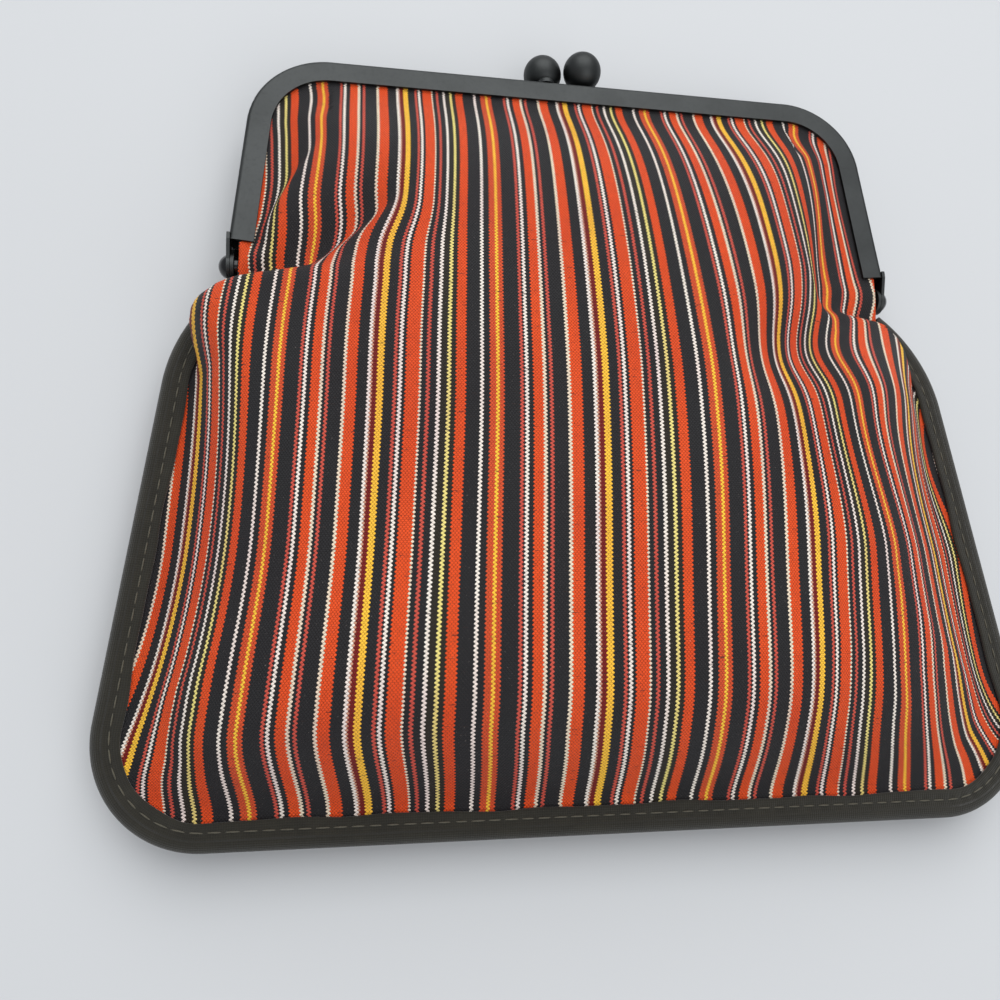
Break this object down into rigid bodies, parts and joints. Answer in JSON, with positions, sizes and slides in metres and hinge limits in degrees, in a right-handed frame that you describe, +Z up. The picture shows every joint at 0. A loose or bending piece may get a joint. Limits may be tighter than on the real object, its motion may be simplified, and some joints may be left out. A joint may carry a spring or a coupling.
{
  "type": "kiss lock purse",
  "caption": "Soft striped cloth purse with a bound edge, gripped by a hinged metal channel frame that snaps shut with a crossed ball clasp, lying on its back",
  "frame": {"origin": "middle of the purse on the table that it lies on", "axes": "X across the purse, Y from the bottom seam to the clasp, Z up from the table through the front"},
  "size_m": [0.19, 0.1768, 0.031],
  "materials": {
    "gunmetal": "satin gunmetal plating on bent steel sheet",
    "black_rivet": "glossy black",
    "paper_cord": "twisted paper, matte",
    "striped_cloth": "plain woven cotton with coloured warp stripes",
    "lining_cloth": "plain cotton, matte",
    "binding_tape": "folded cotton tape with a topstitch"
  },
  "bodies": {
    "body": {"frame_back": "gunmetal", "clasp_ball_back": "gunmetal", "hinge_rivet_left": "black_rivet", "hinge_rivet_right": "black_rivet", "channel_cord_back": "paper_cord", "panel_front": "striped_cloth", "panel_back": "striped_cloth", "lining_front": "lining_cloth", "lining_back": "lining_cloth", "edge_binding": "binding_tape"},
    "front_frame": {"frame_front": "gunmetal", "clasp_ball_front": "gunmetal", "channel_cord_front": "paper_cord"}
  },
  "joints": [
    {"name": "frame_open", "type": "hinge", "parent": "body", "child": "front_frame", "pos_m": [0, 0.0283, 0.009], "axis": [1, 0, 0], "range_deg": [0, 75], "deforming": ["panel_front", "lining_front"]}
  ]
}
